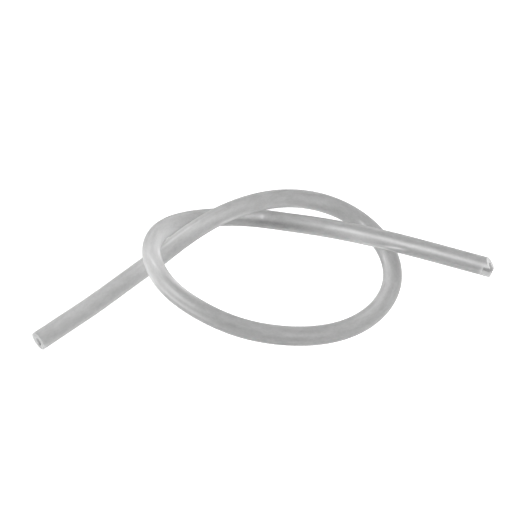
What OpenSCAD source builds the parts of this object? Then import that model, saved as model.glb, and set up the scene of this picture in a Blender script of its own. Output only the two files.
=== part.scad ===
// A length of translucent silicone laboratory tubing, tied in one loose overhand knot and lying free.
// The frame has +Z up, with the table at Z = 0 and the origin under the middle of the knot.

/* [Tube] */
// Outside diameter of the tube
outer_d = 8; // [5:0.5:9]
// Diameter of the bore
bore_d = 4; // [2:0.5:5]

/* [Ends] */
// Straight round stretch at each end, which takes a hose barb
mouth_l = 15; // [8:0.5:15]
// Lean of the upper snip at the tail end, away from a square cut
upper_lean = 41; // [0:1:45]
// How far the upper snip is turned about the tube: at 0 it leaves the bottom longest
upper_turn = -8; // [-40:1:40]
// Where the upper snip crosses the axis, past the last point of the route
upper_reach = 0.8; // [0:0.1:2]
// Lean of the lower snip at the tail end, away from a square cut
lower_lean = 18; // [0:1:30]
// How far the lower snip is turned about the tube: at 90 it leaves the far side longest
lower_turn = 76; // [40:1:120]
// Where the lower snip crosses the axis, past the last point of the route
lower_reach = 1.6; // [0.8:0.1:2.5]
// Length of the nick in the tail end's wall, back from the last point of the route
nick_l = 3.5; // [0.5:0.5:6]
// How far the nick reaches around the wall, in degrees
nick_width = 64; // [20:2:120]
// How far the middle of the nick is turned up from the near side, in degrees
nick_turn = 9; // [-30:1:60]

/* [Lay] */
// Clear space between two stretches where one passes over the other
crossing_gap = 0.2; // [0.1:0.1:1]
// Sides of the tube between its two round ends
sides = 12; // [8:4:12]
// Rings of the tube from one point of the route to the next
rings_per_span = 2; // [1:1:2]

/* [Hidden] */
$fn = 64;

silicone = [0.80, 0.81, 0.82];

// The swept tube is this much smaller in radius than the round ends that it runs into, and laps them by lap
seam = 0.02;
lap = 0.5;

// The tail end is drawn this far past the last point of the route, and snipped back
stub = outer_d;
// Cutting tools reach this far, which is clear of the tube on every side
clear = 2 * outer_d;

// The route from the square end to the snipped end, as X, Y and level.
// Level 0 lies on the table, and level 1 lies on top of another stretch.
ROUTE = [
    // the square end and the straight lead into the knot
    [ -93.0, -37.50, 0.00],
    [ -81.5, -27.00, 0.00],
    [ -70.0, -16.50, 0.00],
    [ -59.5,  -5.50, 0.00],
    // under the left bend, then up over the far stretch
    [ -48.0,   5.00, 0.10],
    [ -36.0,  15.00, 0.55],
    [ -23.0,  23.50, 0.95],
    [  -9.5,  30.50, 1.05],
    // round the far side of the loop, and down
    [   5.0,  35.50, 0.95],
    [  20.5,  37.00, 0.60],
    [  35.0,  32.00, 0.30],
    [  47.0,  21.00, 0.05],
    // under the tail, and round the near side on the table
    [  53.0,   6.00, 0.00],
    [  52.5,  -9.50, 0.00],
    [  44.5, -23.50, 0.00],
    [  31.5, -32.50, 0.00],
    [  15.5, -35.50, 0.00],
    [  -0.5, -34.00, 0.00],
    [ -14.5, -30.00, 0.05],
    [ -29.0, -23.00, 0.30],
    // the left bend, over the lead
    [ -42.5, -14.00, 0.80],
    [ -49.5,  -1.00, 1.25],
    [ -48.0,  13.00, 1.15],
    [ -39.0,  24.00, 0.60],
    // down and under the far stretch
    [ -25.0,  30.50, 0.05],
    [  -9.0,  31.50, 0.00],
    [   6.5,  28.00, 0.05],
    [  21.0,  22.00, 0.50],
    // up over the right of the loop, and straight down to the snipped end
    [  35.0,  15.50, 0.90],
    [  48.5,  10.00, 1.10],
    [  63.5,   6.25, 0.90],
    [  78.5,   3.75, 0.50],
    [  93.5,   1.25, 0.10]
];

// A route point on the tube's centre line: its level is turned into a height
function on_centre(p) = [p.x, p.y, outer_d / 2 + p.z * (outer_d + crossing_gap)];

function unit(v) = v / norm(v);

// A uniform cubic B-spline between points b and c, for t from 0 to 1
function spline(a, b, c, d, t) =
    (pow(1 - t, 3) * a
    + (3 * pow(t, 3) - 6 * pow(t, 2) + 4) * b
    + (-3 * pow(t, 3) + 3 * pow(t, 2) + 3 * t + 1) * c
    + pow(t, 3) * d) / 6;

// The smooth curve that follows points 1 to n - 2 of a list, with so many steps a span
function smooth(p, steps) = concat(
    [for (i = [1 : len(p) - 3], k = [0 : steps - 1])
        spline(p[i - 1], p[i], p[i + 1], p[i + 2], k / steps)],
    [spline(p[len(p) - 4], p[len(p) - 3], p[len(p) - 2], p[len(p) - 1], 1)]
);

centre = [for (p = ROUTE) on_centre(p)];
last = len(centre) - 1;
head_tip = centre[0];
tail_tip = centre[last];
head_out = unit(centre[0] - centre[1]);
tail_out = unit(centre[last] - centre[last - 1]);

// The stretch that is swept, from inside one round end to inside the other
swept = concat(
    [head_tip - head_out * (mouth_l - lap)],
    smooth(centre, rings_per_span),
    [tail_tip - tail_out * (mouth_l - lap)]
);

// The direction of a path at point i
function along(path, i) = unit(path[min(i + 1, len(path) - 1)] - path[max(i - 1, 0)]);

// One ring of points around a path, square to it, with a point straight below the centre
function ring(path, i, d) =
    let (
        ahead = along(path, i),
        side = unit(cross([0, 0, 1], ahead)),
        up = cross(ahead, side)
    )
    [for (k = [0 : sides - 1])
        path[i] + d / 2 * (cos(k * 360 / sides) * side + sin(k * 360 / sides) * up)];

// The two triangles between neighbouring rings for side k of ring i
function wall(i, k) =
    let (
        a = i * sides + k,
        b = i * sides + (k + 1) % sides,
        c = a + sides,
        e = b + sides
    )
    [[a, e, b], [a, c, e]];

// A closed tube skin of diameter d along a path
module sweep(path, d) {
    rings = len(path);
    polyhedron(
        points = [for (i = [0 : rings - 1]) each ring(path, i, d)],
        faces = concat(
            [[for (k = [0 : sides - 1]) k]],
            [for (i = [0 : rings - 2], k = [0 : sides - 1]) each wall(i, k)],
            [[for (k = [sides - 1 : -1 : 0]) (rings - 1) * sides + k]]
        )
    );
}

// Children drawn along +X are set at a tip of the tube, with +X pointing out of it and +Z up
module at_tip(tip, out) {
    translate(tip)
        rotate([0, -asin(out.z), atan2(out.y, out.x)])
            children();
}

// A true round rod along X
module rod(from, to, d) {
    translate([from, 0, 0])
        rotate([0, 90, 0])
            cylinder(h = to - from, d = d);
}

// Everything past a plane that crosses the axis at reach, and leans back over the side away from turn
module snip(lean, turn, reach) {
    rotate([turn, 0, 0])
        translate([reach, 0, 0])
            rotate([0, -lean, 0])
                translate([0, -clear, -clear])
                    cube([clear, 2 * clear, 2 * clear]);
}

// A slice of the wall on the near side, which is the tube's right, seen along X
module nick() {
    translate([-nick_l, 0, 0])
        rotate([0, 90, 0])
            rotate([0, 0, 270 - nick_turn - nick_width / 2])
                rotate_extrude(angle = nick_width)
                    square([clear, clear]);
}

// The outside of the tube, before it is bored
module outside() {
    sweep(swept, outer_d - 2 * seam);
    at_tip(head_tip, head_out)
        rod(-mouth_l, 0, outer_d);
    at_tip(tail_tip, tail_out)
        rod(-mouth_l, stub, outer_d);
}

// The bore from end to end
module inside() {
    sweep(swept, bore_d - 2 * seam);
    at_tip(head_tip, head_out)
        rod(-mouth_l, clear, bore_d);
    at_tip(tail_tip, tail_out)
        rod(-mouth_l, clear, bore_d);
}

module tubing() {
    color(silicone)
        difference() {
            outside();
            inside();
            at_tip(tail_tip, tail_out) {
                snip(upper_lean, upper_turn, upper_reach);
                snip(lower_lean, lower_turn, lower_reach);
                nick();
            }
        }
}

tubing();
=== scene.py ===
"""Looks of a milky translucent silicone tube, tied in one loose overhand knot on a pale table.

The tube is one closed skin: an outer wall and a true bore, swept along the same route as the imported
solid, with a square cut at one end, and two snips and a nick in the wall at the other.
"""

import logging
import math
from dataclasses import dataclass
from enum import Enum
from functools import cached_property
from typing import Any, Mapping, Sequence

import bmesh
import bpy
import numpy as np
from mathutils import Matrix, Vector

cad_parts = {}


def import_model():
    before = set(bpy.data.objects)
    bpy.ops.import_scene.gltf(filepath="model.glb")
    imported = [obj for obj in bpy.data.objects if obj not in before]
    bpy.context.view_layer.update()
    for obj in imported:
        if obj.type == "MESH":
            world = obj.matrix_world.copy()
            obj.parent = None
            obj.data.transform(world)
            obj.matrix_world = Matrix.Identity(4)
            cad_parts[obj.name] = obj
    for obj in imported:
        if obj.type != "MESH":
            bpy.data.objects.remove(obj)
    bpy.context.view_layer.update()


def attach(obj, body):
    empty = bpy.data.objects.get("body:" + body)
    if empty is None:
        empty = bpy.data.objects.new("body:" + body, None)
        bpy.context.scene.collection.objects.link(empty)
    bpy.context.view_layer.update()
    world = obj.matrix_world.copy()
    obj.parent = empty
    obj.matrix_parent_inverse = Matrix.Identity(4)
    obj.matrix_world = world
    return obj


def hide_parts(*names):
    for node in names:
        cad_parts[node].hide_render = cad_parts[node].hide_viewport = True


LOG = logging.getLogger("tubing")
PURE_WHITE = "#FFFFFF"

# A length is in metres where nothing else is said
MM = 0.001

# Smooth noise lies mostly between these two
NOISE_SPAN = (0.3, 0.7)

# A Mix node names several of its sockets alike, so those for colours go by number
MIX_SHARE, MIX_FIRST, MIX_SECOND, MIX_RESULT = 0, 6, 7, 2


class Surface(Enum):
    """What made a stretch of the tube's skin, with its share of a fresh cut's pale, matt look.

    DRAWN is the extruder's die or pin, OLD_CUT the handled square end, TORN a side of the nick, and
    BLADE a fresh cut.
    """

    DRAWN = 0.0
    OLD_CUT = 0.1
    TORN = 0.3
    BLADE = 1.0


class Tone(Enum):
    """How much milkier and paler than plain rubber the middle of a mark is; for a painted mark, how much
    light it paints. Below zero it is clearer and darker, which some marks use as painted shade.
    """

    CLEAR = -0.2
    THIN = -0.1
    FAINT = 0.1
    SOFT = 0.15
    PALE = 0.2
    MILKY = 0.3
    WHITE = 0.5


def linear(colour: str) -> tuple[float, float, float, float]:
    """Turns an sRGB hex colour into linear red, green, blue and alpha.

    Up to the knee, a channel is divided by the slope. Past the knee, it becomes
    (channel + offset) / (1 + offset), to the power of gamma.

    Args:
        colour: six hex digits after a hash sign.

    Returns:
        The linear colour with an alpha of 1.
    """
    knee, slope, offset, gamma = 0.04045, 12.92, 0.055, 2.4
    srgb = np.array([int(colour[i : i + 2], 16) for i in (1, 3, 5)]) / 255
    flat = np.where(srgb <= knee, srgb / slope, ((srgb + offset) / (1 + offset)) ** gamma)
    return (*flat.tolist(), 1.0)


def add_node(
    tree: bpy.types.NodeTree,
    kind: str,
    inputs: Mapping[str | int, Any] | None = None,
    **settings: Any,
) -> bpy.types.Node:
    """Adds a node to a tree, with its settings and what feeds its sockets.

    Args:
        tree: the node tree.
        kind: the node's type name.
        inputs: a plain value, or another node's output, for each socket that is named or numbered.
        **settings: properties of the node.

    Returns:
        The new node.
    """
    node = tree.nodes.new(kind)
    for name, value in settings.items():
        setattr(node, name, value)
    for socket, value in (inputs or {}).items():
        if isinstance(value, bpy.types.NodeSocket):
            tree.links.new(value, node.inputs[socket])
        else:
            node.inputs[socket].default_value = value
    return node


@dataclass(frozen=True)
class Section:
    """The tube's round section.

    Attributes:
        outer_r: radius of the outer wall.
        bore_r: radius of the bore.
    """

    outer_r: float = 4.0 * MM
    bore_r: float = 2.0 * MM


@dataclass(frozen=True)
class Centreline:
    """The tube's middle line: a uniform cubic B-spline that follows the route, straight at both ends.

    Attributes:
        route: X and Y in millimetres and level, from the square end to the snipped end. Level 0 lies
            on the table, and level 1 lies on top of another stretch.
        section: the tube's section, whose outer radius is the height of level 0.
        crossing_gap: the clear space between two stretches at a level's difference of 1.
        step: the distance between the rings of the tube's skin.
        span_points: how many points the curve gets from one point of the route to the next.
        probe: how far ahead and behind the curve's direction is measured.
    """

    route: tuple[tuple[float, float, float], ...]
    section: Section
    crossing_gap: float = 0.2 * MM
    step: float = 1.4 * MM
    span_points: int = 64
    probe: float = 0.5 * MM

    @cached_property
    def controls(self) -> np.ndarray:
        """The route in metres: height = outer radius + level times (outside diameter + gap)."""
        x, y, level = np.array(self.route).T
        height = self.section.outer_r + level * (2 * self.section.outer_r + self.crossing_gap)
        return np.column_stack([x * MM, y * MM, height])

    @cached_property
    def dense(self) -> np.ndarray:
        """The curve in short steps.

        Between controls b and c, with their neighbours a and d, and t from 0 to 1, a point is a sixth
        of (1-t)^3 a + (3t^3 - 6t^2 + 4) b + (-3t^3 + 3t^2 + 3t + 1) c + t^3 d.
        """
        p, t = self.controls, np.linspace(0, 1, self.span_points, endpoint=False)[:, None]
        weights = (1 - t) ** 3, 3 * t**3 - 6 * t**2 + 4, -3 * t**3 + 3 * t**2 + 3 * t + 1, t**3
        spans = sum(w * p[k : len(p) - 3 + k, None] for k, w in enumerate(weights)) / 6
        return np.concatenate([p[:1], spans.reshape(-1, 3), p[-2:-1], p[-1:]])

    @cached_property
    def travelled(self) -> np.ndarray:
        """The distance along the curve to each dense point: the running sum of the steps' lengths."""
        steps = np.linalg.norm(np.diff(self.dense, axis=0), axis=1)
        return np.concatenate([[0.0], np.cumsum(steps)])

    @property
    def length(self) -> float:
        """The whole length of the curve."""
        return float(self.travelled[-1])

    def at(self, distance: np.ndarray) -> np.ndarray:
        """Points at given distances along the curve.

        Args:
            distance: distances from the square end. Past the snipped end the curve goes on straight.

        Returns:
            One point for each distance.
        """
        inside = np.clip(distance, 0, self.length)
        points = np.column_stack([np.interp(inside, self.travelled, axis) for axis in self.dense.T])
        ahead = self.dense[-1] - self.dense[-2]
        return points + (distance - inside)[:, None] * ahead / np.linalg.norm(ahead)

    def frames(self, distance: np.ndarray) -> tuple[np.ndarray, np.ndarray, np.ndarray]:
        """Points, and the sideways and upward directions square to the curve there.

        The side is the level direction square to the way ahead, and up is square to both.

        Args:
            distance: distances from the square end.

        Returns:
            Points, sides and ups, as three arrays of one row for each distance.
        """
        ahead = self.at(distance + self.probe) - self.at(np.maximum(distance - self.probe, 0))
        ahead /= np.linalg.norm(ahead, axis=1, keepdims=True)
        side = np.cross([0.0, 0.0, 1.0], ahead)
        side /= np.linalg.norm(side, axis=1, keepdims=True)
        return self.at(distance), side, np.cross(ahead, side)


@dataclass(frozen=True)
class Snip:
    """One straight cut across the tail end.

    Attributes:
        lean: lean away from a square cut, in degrees.
        longest: where around the tube it leaves the most, in degrees from the tube's left over its top.
        reach: where it crosses the axis, past the last point of the route.
    """

    lean: float
    longest: float
    reach: float

    def past(self, radius: np.ndarray | float, angle: np.ndarray) -> np.ndarray:
        """Distance past the tip: reach + radius times cosine of (angle - longest) times tangent of lean.

        Args:
            radius: distance from the axis.
            angle: angle around the tube, in radians.

        Returns:
            The distance along the axis for each radius and angle.
        """
        turn, slope = angle - math.radians(self.longest), math.tan(math.radians(self.lean))
        return self.reach + radius * np.cos(turn) * slope


@dataclass(frozen=True)
class TailCut:
    """The two snips that meet in a point at the tail end, and the nick in its near wall.

    Attributes:
        snips: the straight cuts. What lies past any of them is gone.
        nick_length: length of the nick in the wall, back from the last point of the route.
        nick_from: where around the tube the nick starts, in degrees from its left over its top.
        nick_to: where the nick ends.
    """

    snips: tuple[Snip, ...] = (
        Snip(lean=41.0, longest=262.0, reach=0.8 * MM),
        Snip(lean=18.0, longest=346.0, reach=1.6 * MM),
    )
    nick_length: float = 3.5 * MM
    nick_from: float = 139.0
    nick_to: float = 203.0

    def past(self, radius: np.ndarray | float, angle: np.ndarray) -> np.ndarray:
        """How far the end lies past the tip: the least of the snips.

        Args:
            radius: distance from the axis.
            angle: angle around the tube, in radians.

        Returns:
            The distance along the axis for each radius and angle.
        """
        return np.minimum.reduce([snip.past(radius, angle) for snip in self.snips])


@dataclass(frozen=True)
class Patch:
    """A grid of points in the straightened tube.

    Attributes:
        distance: distance along the tube, with a row and a column for each point.
        radius: distance from the axis.
        angle: angle around the tube, in radians.
        surface: what made this stretch.
        outwards: whether rows then columns turn the way of a face that points out of the rubber.
    """

    distance: np.ndarray
    radius: np.ndarray
    angle: np.ndarray
    surface: Surface
    outwards: bool

    @property
    def faces(self) -> np.ndarray:
        """The four corners of each cell, turned so that the face points out of the rubber."""
        rows, columns = self.distance.shape
        corner = np.arange(rows * columns).reshape(rows, columns)
        a, b, c, d = corner[:-1, :-1], corner[:-1, 1:], corner[1:, 1:], corner[1:, :-1]
        order = (a, b, c, d) if self.outwards else (a, d, c, b)
        return np.stack(order, axis=-1).reshape(-1, 4)


def patch(
    distance: np.ndarray | float,
    radius: np.ndarray | float,
    angle: np.ndarray | float,
    surface: Surface,
    outwards: bool,
) -> Patch:
    """Makes a patch from arrays that broadcast to one grid.

    Args:
        distance: distance along the tube.
        radius: distance from the axis.
        angle: angle around the tube, in radians.
        surface: what made this stretch.
        outwards: whether rows then columns turn the way of a face that points out of the rubber.

    Returns:
        The patch.
    """
    grid = np.broadcast_arrays(*(np.asarray(part, float) for part in (distance, radius, angle)))
    return Patch(*grid, surface, outwards)


@dataclass(frozen=True)
class Mark:
    """A milkier or clearer place in the rubber, fading evenly to all sides. Many are painted light and
    shade.

    Attributes:
        name: what it looks like.
        at: distance of its middle from the square end.
        length: how far along the tube it fades to about a third.
        angle: where its middle lies around the tube, in degrees from the tube's left over its top.
        width: how far around the tube it fades to about a third, in degrees.
        tone: how milky its middle is, which for a painted mark is how much light or shade it paints.
        drift: how far it winds around the tube, in degrees for each millimetre along it.
    """

    name: str
    at: float
    length: float
    angle: float
    width: float
    tone: Tone
    drift: float = 0.0

    def haze_and_painted_light(self, distance: np.ndarray, angle: np.ndarray) -> np.ndarray:
        """Milky share, painted light and shade among it: tone times e to the power of -(steps along /
        length)^2 - (turn / width)^2.

        The turn is the angle less the mark's own, which grows by the drift for each millimetre along.

        Args:
            distance: distances along the tube.
            angle: angles around the tube, in radians.

        Returns:
            The milky share, painted light and shade among it, that this mark adds at each place.
        """
        middle = self.angle + self.drift * (distance - self.at) / MM
        turn = (np.degrees(angle) - middle + 180) % 360 - 180
        along = (distance - self.at) / self.length
        return self.tone.value * np.exp(-(along**2) - (turn / self.width) ** 2)


@dataclass(frozen=True)
class Pattern:
    """Smooth noise over the straightened tube.

    Attributes:
        length: about how long a blot is along the tube.
        width: about how wide a blot is around the tube.
        detail: how many finer layers lie over it.
    """

    length: float
    width: float
    detail: float = 1.0

    def over(
        self, tree: bpy.types.NodeTree, straightened: bpy.types.NodeSocket
    ) -> bpy.types.NodeSocket:
        """Stretches the noise to its real size and lays it over the tube.

        Args:
            tree: the material's node tree.
            straightened: the place in the straightened tube.

        Returns:
            The socket with the noise.
        """
        scale = (1 / self.length, 1 / self.width, 1 / self.width)
        sized = add_node(tree, "ShaderNodeMapping", {"Vector": straightened, "Scale": scale})
        noise = add_node(
            tree,
            "ShaderNodeTexNoise",
            {"Vector": sized.outputs[0], "Scale": 1.0, "Detail": self.detail},
        )
        return noise.outputs[0]


@dataclass(frozen=True)
class SiliconeFinish:
    """Extruded, post-cured silicone rubber: milky, with a faint greasy sheen, and paler where cut.

    Attributes:
        clear: colour of the rubber where it is clearest.
        milky: colour where it is milkiest.
        plain: share of the milky colour in plain stretches.
        clouds: the broad clouds in the rubber.
        mottling: how far the clouds stray from the plain share.
        grain: the fine grain in the rubber.
        speckle: how far the grain strays from the clouds.
        cut: colour of a cut face, which scatters more.
        ior: refractive index of silicone rubber.
        glassy: share of the light that goes straight through the skin.
        scatter: share of the rest that wanders under the skin before it comes out again.
        wander: how far it wanders, the same for red, green and blue.
        let_through: share of the light that goes on through the wall to what lies in the tube's shadow.
        sheen_roughness: roughness of the drawn skin.
        cut_roughness: roughness of a cut face.
        die_lines: the long faint lines that the die leaves in the skin.
        die_depth: depth of the die lines.
        die_strength: how strongly they show.
    """

    clear: str = "#8A8A8A"
    milky: str = "#FAFAFA"
    plain: float = 0.215
    clouds: Pattern = Pattern(5 * MM, 2 * MM, detail=3.0)
    mottling: float = 0.04
    grain: Pattern = Pattern(1.2 * MM, 0.6 * MM)
    speckle: float = 0.026
    cut: str = "#E6E6E6"
    ior: float = 1.41
    glassy: float = 0.05
    scatter: float = 1.0
    wander: float = 4.0 * MM
    let_through: float = 0.95
    sheen_roughness: float = 0.35
    cut_roughness: float = 0.5
    die_lines: Pattern = Pattern(40 * MM, 0.7 * MM)
    die_depth: float = 0.03 * MM
    die_strength: float = 0.5

    def milky_share_and_painted_light(
        self, tree: bpy.types.NodeTree, straightened: bpy.types.NodeSocket
    ) -> bpy.types.NodeSocket:
        """How milky the rubber is: its clouds, plus its grain, plus the marks, among them painted
        highlights and shade.

        Args:
            tree: the material's node tree.
            straightened: the place in the straightened tube.

        Returns:
            The socket with the share of the milky colour, from 0 to 1.
        """
        low, high = NOISE_SPAN
        clouded = add_node(
            tree,
            "ShaderNodeMapRange",
            {
                "Value": self.clouds.over(tree, straightened),
                "From Min": low,
                "From Max": high,
                "To Min": self.plain - self.mottling,
                "To Max": self.plain + self.mottling,
            },
        )
        speckled = add_node(
            tree,
            "ShaderNodeMapRange",
            {
                "Value": self.grain.over(tree, straightened),
                "From Min": low,
                "From Max": high,
                "To Min": -self.speckle,
                "To Max": self.speckle,
            },
        )
        own = add_node(
            tree, "ShaderNodeMath", {0: clouded.outputs[0], 1: speckled.outputs[0]}, operation="ADD"
        )
        # The marks' share, which holds painted highlights, glints, light and shade as well as milky
        # places
        haze_and_painted_light = add_node(tree, "ShaderNodeAttribute", attribute_name="haze_and_painted_light").outputs["Fac"]
        whole = add_node(
            tree, "ShaderNodeMath", {0: own.outputs[0], 1: haze_and_painted_light}, operation="ADD", use_clamp=True
        )
        return whole.outputs[0]

    def skin(self, tree: bpy.types.NodeTree) -> bpy.types.NodeSocket:
        """The rubber to the eye: its colour with the painted highlights and shade of the marks, cut
        faces, die lines and the light that wanders in it.

        Args:
            tree: the material's node tree.

        Returns:
            The socket with the shader.
        """
        straightened = add_node(
            tree, "ShaderNodeAttribute", attribute_name="straightened"
        ).outputs["Vector"]
        bladed = add_node(tree, "ShaderNodeAttribute", attribute_name="bladed").outputs["Fac"]
        # Clear to milky rubber, with the marks' painted highlights and painted shade in its colour
        drawn = add_node(
            tree,
            "ShaderNodeMix",
            {
                MIX_SHARE: self.milky_share_and_painted_light(tree, straightened),
                MIX_FIRST: linear(self.clear),
                MIX_SECOND: linear(self.milky),
            },
            data_type="RGBA",
        )
        coloured = add_node(
            tree,
            "ShaderNodeMix",
            {
                MIX_SHARE: bladed,
                MIX_FIRST: drawn.outputs[MIX_RESULT],
                MIX_SECOND: linear(self.cut),
            },
            data_type="RGBA",
        )
        roughness = add_node(
            tree,
            "ShaderNodeMapRange",
            {"Value": bladed, "To Min": self.sheen_roughness, "To Max": self.cut_roughness},
        )
        lined = add_node(
            tree,
            "ShaderNodeBump",
            {
                "Height": self.die_lines.over(tree, straightened),
                "Strength": self.die_strength,
                "Distance": self.die_depth,
            },
        )
        rubber = add_node(
            tree,
            "ShaderNodeBsdfPrincipled",
            {
                "Base Color": coloured.outputs[MIX_RESULT],
                "Roughness": roughness.outputs[0],
                "IOR": self.ior,
                "Transmission Weight": self.glassy,
                "Subsurface Weight": self.scatter,
                "Subsurface Radius": (1.0, 1.0, 1.0),
                "Subsurface Scale": self.wander,
                "Normal": lined.outputs[0],
            },
        )
        return rubber.outputs[0]

    def material(self) -> bpy.types.Material:
        """Builds the material.

        Returns:
            The silicone, whose pattern follows the straightened tube.
        """
        made = bpy.data.materials.new("milky extruded silicone rubber")
        made.use_nodes = True
        tree = made.node_tree
        tree.nodes.clear()
        skin = self.skin(tree)
        # Light that falls through one stretch onto another, or onto the table
        path = add_node(tree, "ShaderNodeLightPath")
        lighting = add_node(
            tree,
            "ShaderNodeMath",
            {0: path.outputs["Is Shadow Ray"], 1: path.outputs["Is Diffuse Ray"]},
            operation="MAXIMUM",
        )
        share = add_node(
            tree,
            "ShaderNodeMath",
            {0: lighting.outputs[0], 1: self.let_through},
            operation="MULTIPLY",
        )
        open_air = add_node(tree, "ShaderNodeBsdfTransparent")
        both = add_node(
            tree, "ShaderNodeMixShader", {0: share.outputs[0], 1: skin, 2: open_air.outputs[0]}
        )
        add_node(tree, "ShaderNodeOutputMaterial", {"Surface": both.outputs[0]})
        return made


@dataclass
class KnottedTube:
    """The whole object: one length of tube, knotted, bored and cut.

    Attributes:
        section: the tube's round section.
        line: the tube's middle line.
        tail: the cuts at the tail end.
        finish: the rubber.
        marks: milky and clear places in the rubber, many of them painted highlights and painted shade.
        around_step: step between points around the tube, in degrees.
        blade_rows: how many rows of points a cut face has from the bore to the outer wall.
        edge_round: how far a cut's edge is rounded off.
        edge_segments: how many faces round it off.
        sharp_edge: the least fold that counts as an edge, in degrees.
        weld: points nearer than this are one point.
        cord_points: how many points of the middle line are worked out along the cord.
    """

    section: Section
    line: Centreline
    tail: TailCut
    finish: SiliconeFinish
    marks: tuple[Mark, ...] = ()
    around_step: float = 3.0
    blade_rows: int = 5
    edge_round: float = 0.1 * MM
    edge_segments: int = 2
    sharp_edge: float = 40.0
    weld: float = 0.001 * MM
    cord_points: int = 250

    def angles(self, start: float, stop: float) -> np.ndarray:
        """Angles around the tube in even steps, in radians.

        Args:
            start: first angle, in degrees.
            stop: last angle, in degrees.

        Returns:
            The angles, both ends among them.
        """
        return np.radians(np.linspace(start, stop, round((stop - start) / self.around_step) + 1))

    def patches(self) -> list[Patch]:
        """Cuts the skin into grids that share their edges.

        The wall and the bore run from the square end to the nick's back face. Past it they go on
        outside the nick only, to whichever snip comes first.

        Returns:
            The patches of the whole skin.
        """
        outer, bore, tail = self.section.outer_r, self.section.bore_r, self.tail
        whole = self.line.length
        neck = whole - tail.nick_length
        along = np.linspace(0, neck, round(neck / self.line.step) + 1)[:, None]
        kept = self.angles(tail.nick_to, tail.nick_from + 360)
        gone = self.angles(tail.nick_from, tail.nick_to)
        full = np.concatenate([gone, kept[1:]])
        radii = np.linspace(bore, outer, self.blade_rows)[:, None]
        share = np.linspace(0, 1, self.blade_rows)[:, None]

        def to_cut(radius: np.ndarray | float, angle: np.ndarray | float) -> np.ndarray:
            """Distances that go evenly from the nick's back face to the snips."""
            return neck + share * (tail.nick_length + tail.past(radius, angle))

        made = [
            patch(along, outer, full, Surface.DRAWN, outwards=False),
            patch(along, bore, full, Surface.DRAWN, outwards=True),
            patch(0.0, radii, full, Surface.OLD_CUT, outwards=True),
            patch(to_cut(outer, kept), outer, kept, Surface.DRAWN, outwards=False),
            patch(to_cut(bore, kept), bore, kept, Surface.DRAWN, outwards=True),
            patch(whole + tail.past(radii, kept), radii, kept, Surface.BLADE, outwards=False),
            patch(neck, radii, gone, Surface.BLADE, outwards=False),
        ]
        for edge, outwards in ((tail.nick_from, True), (tail.nick_to, False)):
            angle = np.radians(edge)
            made.append(patch(to_cut(radii.T, angle), radii.T, angle, Surface.TORN, outwards))
        return made

    def haze_and_painted_light(self, distance: np.ndarray, angle: np.ndarray) -> np.ndarray:
        """The sum of all marks at places given by distance and angle."""
        return sum((mark.haze_and_painted_light(distance, angle) for mark in self.marks), np.zeros(len(distance)))

    def skin(self) -> bpy.types.Mesh:
        """Lays the patches along the route and merges them into one closed skin.

        A point lies on the curve at its distance, plus its radius times (cosine of its angle times
        the side, plus sine times up).

        Returns:
            The tube's mesh, with its place in the straightened tube, the marks' milky share with their
            painted light and shade, and cut faces as attributes.
        """
        points, straight, faces, bladed, haze_and_painted_light = [], [], [], [], []
        count = 0
        for piece in self.patches():
            distance, radius, angle = (a.ravel() for a in (piece.distance, piece.radius, piece.angle))
            centre, side, up = self.line.frames(distance)
            across, high = (radius * np.cos(angle))[:, None], (radius * np.sin(angle))[:, None]
            points.append(centre + across * side + high * up)
            straight.append(np.column_stack([distance, across, high]))
            haze_and_painted_light.append(self.haze_and_painted_light(distance, angle))
            faces.append(piece.faces + count)
            bladed.append(np.full(piece.faces.size, piece.surface.value))
            count += len(distance)
        mesh = bpy.data.meshes.new("silicone tube")
        mesh.from_pydata(np.concatenate(points).tolist(), [], np.concatenate(faces).tolist())
        for name, kind, domain, key, values in (
            ("straightened", "FLOAT_VECTOR", "POINT", "vector", straight),
            ("haze_and_painted_light", "FLOAT", "POINT", "value", haze_and_painted_light),
            ("bladed", "FLOAT", "CORNER", "value", bladed),
        ):
            attribute = mesh.attributes.new(name, kind, domain)
            attribute.data.foreach_set(key, np.concatenate(values).ravel())
        whole = bmesh.new()
        whole.from_mesh(mesh)
        bmesh.ops.remove_doubles(whole, verts=whole.verts, dist=self.weld)
        open_edges = sum(not edge.is_manifold for edge in whole.edges)
        whole.to_mesh(mesh)
        whole.free()
        mesh.shade_smooth()
        LOG.info("skin: %d faces, %d open edges", len(mesh.polygons), open_edges)
        return mesh

    def build(self) -> bpy.types.Object:
        """Makes the tube from its skin, with its knife edges rounded off.

        Returns:
            The tube's object.
        """
        mesh = self.skin()
        mesh.materials.append(self.finish.material())
        tube = bpy.data.objects.new("silicone_tube", mesh)
        bpy.context.scene.collection.objects.link(tube)
        rounded = tube.modifiers.new("knife edges", "BEVEL")
        rounded.width = self.edge_round
        rounded.segments = self.edge_segments
        rounded.limit_method = "ANGLE"
        rounded.angle_limit = math.radians(self.sharp_edge)
        rounded.harden_normals = True
        return tube

    def place(self) -> bpy.types.Object:
        """Builds the tube, hangs it on the root body, and hides the imported tubing solid that it stands
        for.

        Returns:
            The tube's object.
        """
        tube = self.build()
        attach(tube, "root")
        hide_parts("tubing")
        every = self.line.at(np.linspace(0, self.line.length, self.cord_points))
        return tube


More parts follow.
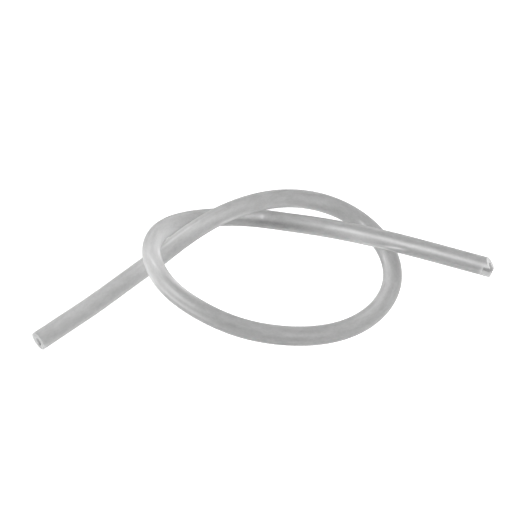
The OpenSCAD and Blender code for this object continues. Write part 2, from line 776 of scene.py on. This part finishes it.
@dataclass(frozen=True)
class Lamp:
    """A soft square lamp aimed at the object.

    Attributes:
        name: what it is.
        azimuth: where it stands, in degrees from the camera's side towards the right.
        elevation: height above the table, in degrees.
        distance: how far it stands from the object.
        size: its width.
        power: its power in watts.
    """

    name: str
    azimuth: float
    elevation: float
    distance: float
    size: float
    power: float

    def place(self) -> None:
        """Hangs the lamp at its place, turned to the middle of the table."""
        data = bpy.data.lights.new(self.name, "AREA")
        data.shape, data.size, data.energy = "SQUARE", self.size, self.power
        lamp = bpy.data.objects.new(self.name, data)
        bpy.context.scene.collection.objects.link(lamp)
        turn, rise = math.radians(self.azimuth), math.radians(self.elevation)
        level = math.cos(rise)
        way = Vector((math.sin(turn) * level, -math.cos(turn) * level, math.sin(rise)))
        lamp.location = way * self.distance
        lamp.rotation_euler = way.to_track_quat("Z", "Y").to_euler()


@dataclass(frozen=True)
class Studio:
    """A pale table, soft lamps, a plain room and the camera.

    Attributes:
        lamps: the lamps.
        room: colour of the room that lights the object.
        room_strength: strength of that light.
        table: colour of the table top.
        table_glow: how much the table top fades into the white of the room.
        table_size: width of the table top.
        table_gap: how far the table top lies under the object.
        aim: the point that the camera looks at.
        elevation: how far the camera looks down, in degrees.
        distance: how far the camera stands from its aim.
        lens: focal length in millimetres.
        sensor: width of the camera's sensor, in millimetres.
        sight: the nearest and farthest distance that the camera sees.
    """

    lamps: tuple[Lamp, ...]
    room: str = "#BEBEBE"
    room_strength: float = 0.5
    table: str = "#F2F2F2"
    table_glow: float = 0.5
    table_size: float = 6.0
    table_gap: float = 0.02 * MM
    aim: tuple[float, float, float] = (-0.002, 0.008, 0.0)
    elevation: float = 49.0
    distance: float = 0.64
    lens: float = 102.66
    sensor: float = 36.0
    sight: tuple[float, float] = (0.01, 20.0)

    @staticmethod
    def seen(tree: bpy.types.NodeTree) -> bpy.types.NodeSocket:
        """One for rays from the camera, a mirror or through the rubber, and nothing for lighting rays.

        Args:
            tree: the node tree.

        Returns:
            The socket with that number.
        """
        path = add_node(tree, "ShaderNodeLightPath")
        direct = add_node(
            tree,
            "ShaderNodeMath",
            {0: path.outputs["Is Camera Ray"], 1: path.outputs["Is Glossy Ray"]},
            operation="MAXIMUM",
        )
        either = add_node(
            tree,
            "ShaderNodeMath",
            {0: direct.outputs[0], 1: path.outputs["Is Transmission Ray"]},
            operation="MAXIMUM",
        )
        return either.outputs[0]

    def surround(self) -> None:
        """Makes the room: white to the eye, and a plain grey that lights the object."""
        world = bpy.data.worlds.new("plain room")
        bpy.context.scene.world = world
        world.use_nodes = True
        tree = world.node_tree
        tree.nodes.clear()
        dim, white = (
            add_node(tree, "ShaderNodeBackground", {"Color": linear(colour), "Strength": strength})
            for colour, strength in ((self.room, self.room_strength), (PURE_WHITE, 1.0))
        )
        both = add_node(
            tree, "ShaderNodeMixShader", {0: self.seen(tree), 1: dim.outputs[0], 2: white.outputs[0]}
        )
        add_node(tree, "ShaderNodeOutputWorld", {"Surface": both.outputs[0]})

    def lay_table(self) -> None:
        """Lays a top of matt white laminate, which takes the shadow and fades into the white room."""
        half, below = self.table_size / 2, -self.table_gap
        corners = [(x * half, y * half, below) for x, y in ((-1, -1), (1, -1), (1, 1), (-1, 1))]
        mesh = bpy.data.meshes.new("table top")
        mesh.from_pydata(corners, [], [(0, 1, 2, 3)])
        made = bpy.data.materials.new("matt white laminate")
        made.use_nodes = True
        tree = made.node_tree
        tree.nodes.clear()
        matt = add_node(tree, "ShaderNodeBsdfDiffuse", {"Color": linear(self.table)})
        strength = add_node(
            tree, "ShaderNodeMath", {0: self.seen(tree), 1: self.table_glow}, operation="MULTIPLY"
        )
        glow = add_node(
            tree, "ShaderNodeEmission", {"Color": linear(PURE_WHITE), "Strength": strength.outputs[0]}
        )
        both = add_node(tree, "ShaderNodeAddShader", {0: matt.outputs[0], 1: glow.outputs[0]})
        add_node(tree, "ShaderNodeOutputMaterial", {"Surface": both.outputs[0]})
        mesh.materials.append(made)
        top = bpy.data.objects.new("table_top", mesh)
        bpy.context.scene.collection.objects.link(top)

    def set_camera(self) -> None:
        """Stands the camera in front of the object, looking down at it along +Y."""
        data = bpy.data.cameras.new("camera")
        data.lens, data.sensor_width = self.lens, self.sensor
        data.clip_start, data.clip_end = self.sight
        camera = bpy.data.objects.new("camera", data)
        bpy.context.scene.collection.objects.link(camera)
        rise = math.radians(self.elevation)
        back = Vector((0.0, -math.cos(rise), math.sin(rise)))
        camera.location = Vector(self.aim) + back * self.distance
        camera.rotation_euler = back.to_track_quat("Z", "Y").to_euler()
        bpy.context.scene.camera = camera

    def build(self) -> None:
        """Makes the camera, the room, the table and the lamps."""
        self.set_camera()
        self.surround()
        self.lay_table()
        for lamp in self.lamps:
            lamp.place()
        bpy.context.scene.view_settings.view_transform = "Standard"


ROUTE = (
    # the square end and the straight lead into the knot
    (-93.0, -37.5, 0.00),
    (-81.5, -27.0, 0.00),
    (-70.0, -16.5, 0.00),
    (-59.5, -5.5, 0.00),
    # under the left bend, then up over the far stretch
    (-48.0, 5.0, 0.10),
    (-36.0, 15.0, 0.55),
    (-23.0, 23.5, 0.95),
    (-9.5, 30.5, 1.05),
    # round the far side of the loop, and down
    (5.0, 35.5, 0.95),
    (20.5, 37.0, 0.60),
    (35.0, 32.0, 0.30),
    (47.0, 21.0, 0.05),
    # under the tail, and round the near side on the table
    (53.0, 6.0, 0.00),
    (52.5, -9.5, 0.00),
    (44.5, -23.5, 0.00),
    (31.5, -32.5, 0.00),
    (15.5, -35.5, 0.00),
    (-0.5, -34.0, 0.00),
    (-14.5, -30.0, 0.05),
    (-29.0, -23.0, 0.30),
    # the left bend, over the lead
    (-42.5, -14.0, 0.80),
    (-49.5, -1.0, 1.25),
    (-48.0, 13.0, 1.15),
    (-39.0, 24.0, 0.60),
    # down and under the far stretch
    (-25.0, 30.5, 0.05),
    (-9.0, 31.5, 0.00),
    (6.5, 28.0, 0.05),
    (21.0, 22.0, 0.50),
    # up over the right of the loop, and straight down to the snipped end
    (35.0, 15.5, 0.90),
    (48.5, 10.0, 1.10),
    (63.5, 6.25, 0.90),
    (78.5, 3.75, 0.50),
    (93.5, 1.25, 0.10),
)

# Many follow places that a fit to the photograph had found, rounded off
# Many marks are painted highlights and glints, painted light against the shade where stretches touch,
# and painted shade
MARKS = (
    # the lead from the square end
    Mark("pale back", 25 * MM, 45 * MM, angle=95, width=50, tone=Tone.SOFT),
    Mark("pale flank", 25 * MM, 45 * MM, angle=180, width=12, tone=Tone.FAINT),
    # Painted light that lifts the shade where the left bend lies over the lead
    Mark("painted light in the bend's shade", 57 * MM, 6 * MM, angle=130, width=60, tone=Tone.SOFT),
    # Painted light on the lips of the square cut, and painted shade at its top and in the mouth of the
    # bore
    Mark("lip of the cut", 0 * MM, 1 * MM, angle=215, width=25, tone=Tone.MILKY),
    Mark("far lip of the cut", 0 * MM, 2 * MM, angle=350, width=40, tone=Tone.PALE),
    Mark("top of the cut", 0 * MM, 1 * MM, angle=105, width=40, tone=Tone.THIN),
    Mark("dark mouth of the bore", 1 * MM, 3 * MM, angle=250, width=30, tone=Tone.CLEAR),
    # past the left bend, and over the far stretch
    # A painted highlight line on the lead's top, and painted light against the shade beside the left
    # bend
    Mark("line from the bend", 75 * MM, 14 * MM, angle=92, width=8, tone=Tone.PALE),
    Mark("upper rim", 74 * MM, 12 * MM, angle=58, width=25, tone=Tone.MILKY),
    Mark("slanting band", 88 * MM, 14 * MM, angle=118, width=18, tone=Tone.FAINT, drift=1.0),
    Mark("pale flank", 100 * MM, 10 * MM, angle=185, width=15, tone=Tone.PALE),
    Mark("clear lower rim", 85 * MM, 15 * MM, angle=205, width=12, tone=Tone.CLEAR),
    Mark("wide haze", 95 * MM, 35 * MM, angle=130, width=50, tone=Tone.FAINT),
    # Painted light against the shade on the lower flank, where this stretch lies over the far stretch
    Mark("flank over the far stretch", 125 * MM, 12 * MM, angle=185, width=25, tone=Tone.PALE),
    Mark("clear patch", 150 * MM, 6 * MM, angle=135, width=15, tone=Tone.THIN),
    # A painted glint beside where the tail crosses
    Mark("spark beside the tail", 165 * MM, 2 * MM, angle=127, width=8, tone=Tone.MILKY),
    # down the right side of the loop
    Mark("clear hollow", 187 * MM, 12 * MM, angle=168, width=15, tone=Tone.CLEAR),
    # A painted highlight down the inner shoulder of the loop's right side, with a painted glint
    Mark("pale shoulder", 195 * MM, 14 * MM, angle=128, width=22, tone=Tone.PALE, drift=-1.0),
    Mark("spark", 187 * MM, 2 * MM, angle=138, width=6, tone=Tone.PALE),
    Mark("pale band", 216 * MM, 16 * MM, angle=92, width=25, tone=Tone.SOFT, drift=-1.0),
    # the near side
    Mark("clear rim", 262 * MM, 30 * MM, angle=335, width=28, tone=Tone.CLEAR),
    Mark("clear back", 273 * MM, 22 * MM, angle=50, width=15, tone=Tone.THIN),
    Mark("upper band", 302 * MM, 14 * MM, angle=25, width=12, tone=Tone.PALE),
    Mark("band along the back", 305 * MM, 10 * MM, angle=60, width=12, tone=Tone.PALE),
    # A painted highlight along the inner rim where the tube rises into the left bend
    Mark("inner flank", 306 * MM, 10 * MM, angle=128, width=20, tone=Tone.WHITE),
    Mark("clear band between them", 308 * MM, 9 * MM, angle=95, width=12, tone=Tone.THIN),
    # the left bend, milky all round
    Mark("milky bend", 328 * MM, 20 * MM, angle=100, width=60, tone=Tone.MILKY),
    Mark("clear streak", 336 * MM, 8 * MM, angle=97, width=15, tone=Tone.THIN),
    # Painted highlights and glints along the bend's rims and inner flank
    Mark("inner bend", 327 * MM, 10 * MM, angle=145, width=30, tone=Tone.MILKY),
    Mark("outer bend", 320 * MM, 15 * MM, angle=30, width=25, tone=Tone.PALE),
    Mark("upper rim over the lead", 317 * MM, 5 * MM, angle=0, width=18, tone=Tone.WHITE, drift=2.0),
    Mark("white edge", 324 * MM, 5 * MM, angle=355, width=14, tone=Tone.WHITE, drift=2.5),
    Mark("slanting painted highlight", 322 * MM, 4 * MM, angle=78, width=7, tone=Tone.PALE, drift=-2.5),
    Mark("painted glint on the inner bend", 326 * MM, 3 * MM, angle=143, width=9, tone=Tone.WHITE, drift=1.0),
    # Painted light against the shade where the bend lies over the lead
    Mark("inner side", 343 * MM, 14 * MM, angle=175, width=35, tone=Tone.MILKY),
    Mark("haze past the bend", 352 * MM, 15 * MM, angle=90, width=40, tone=Tone.FAINT),
    Mark("clear upper rim", 350 * MM, 20 * MM, angle=50, width=20, tone=Tone.CLEAR),
    # under the far stretch
    Mark("pale strip", 387 * MM, 8 * MM, angle=115, width=20, tone=Tone.PALE),
    # A painted glint in the corner, and painted shade where the far stretch shades this one
    Mark("spark in the corner", 393 * MM, 1 * MM, angle=118, width=14, tone=Tone.MILKY),
    Mark("painted shade under the far stretch", 400 * MM, 16 * MM, angle=155, width=28, tone=Tone.CLEAR),
    Mark("painted shade on the lower edge", 388 * MM, 10 * MM, angle=205, width=20, tone=Tone.CLEAR),
    # the tail
    # A long painted highlight along the tail, its start, and a painted glint
    Mark("long pale line", 468 * MM, 50 * MM, angle=127, width=13, tone=Tone.MILKY),
    Mark("start of the line", 433 * MM, 8 * MM, angle=124, width=12, tone=Tone.SOFT),
    Mark("upper spark", 445 * MM, 3 * MM, angle=74, width=10, tone=Tone.PALE),
    Mark("haze over the loop", 440 * MM, 10 * MM, angle=155, width=35, tone=Tone.FAINT),
    # Painted highlights below the long line
    Mark("lower flank", 442 * MM, 6 * MM, angle=192, width=14, tone=Tone.PALE),
    Mark("lower edge", 451 * MM, 6 * MM, angle=207, width=16, tone=Tone.MILKY),
    Mark("thin painted highlight", 454 * MM, 4 * MM, angle=166, width=7, tone=Tone.WHITE, drift=-1.5),
    # A painted highlight on the nick's edge
    Mark("edge of the nick", 491 * MM, 1 * MM, angle=168, width=28, tone=Tone.PALE),
)

LAMPS = (
    Lamp("panel over the camera", azimuth=0, elevation=50, distance=1.3, size=0.8, power=10.0),
    Lamp("window to the left", azimuth=-110, elevation=35, distance=1.3, size=0.8, power=6.0),
    Lamp("pale wall to the right", azimuth=105, elevation=25, distance=1.3, size=0.8, power=3.0),
)


def main() -> None:
    """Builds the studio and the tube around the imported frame, and reports each."""
    logging.basicConfig(level=logging.INFO, format="%(name)s: %(message)s")
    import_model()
    studio = Studio(lamps=LAMPS)
    studio.build()
    LOG.info("studio: %d lamps", len(studio.lamps))
    section = Section()
    tube = KnottedTube(section, Centreline(ROUTE, section), TailCut(), SiliconeFinish(), MARKS)
    made = tube.place()
    length = tube.line.length / MM
    LOG.info("placed %s, %.1f mm long, with %d marks", made.name, length, len(tube.marks))
    for mark in tube.marks:
        LOG.debug("%s, %.0f mm along", mark.name, mark.at / MM)


if __name__ == "__main__":
    main()
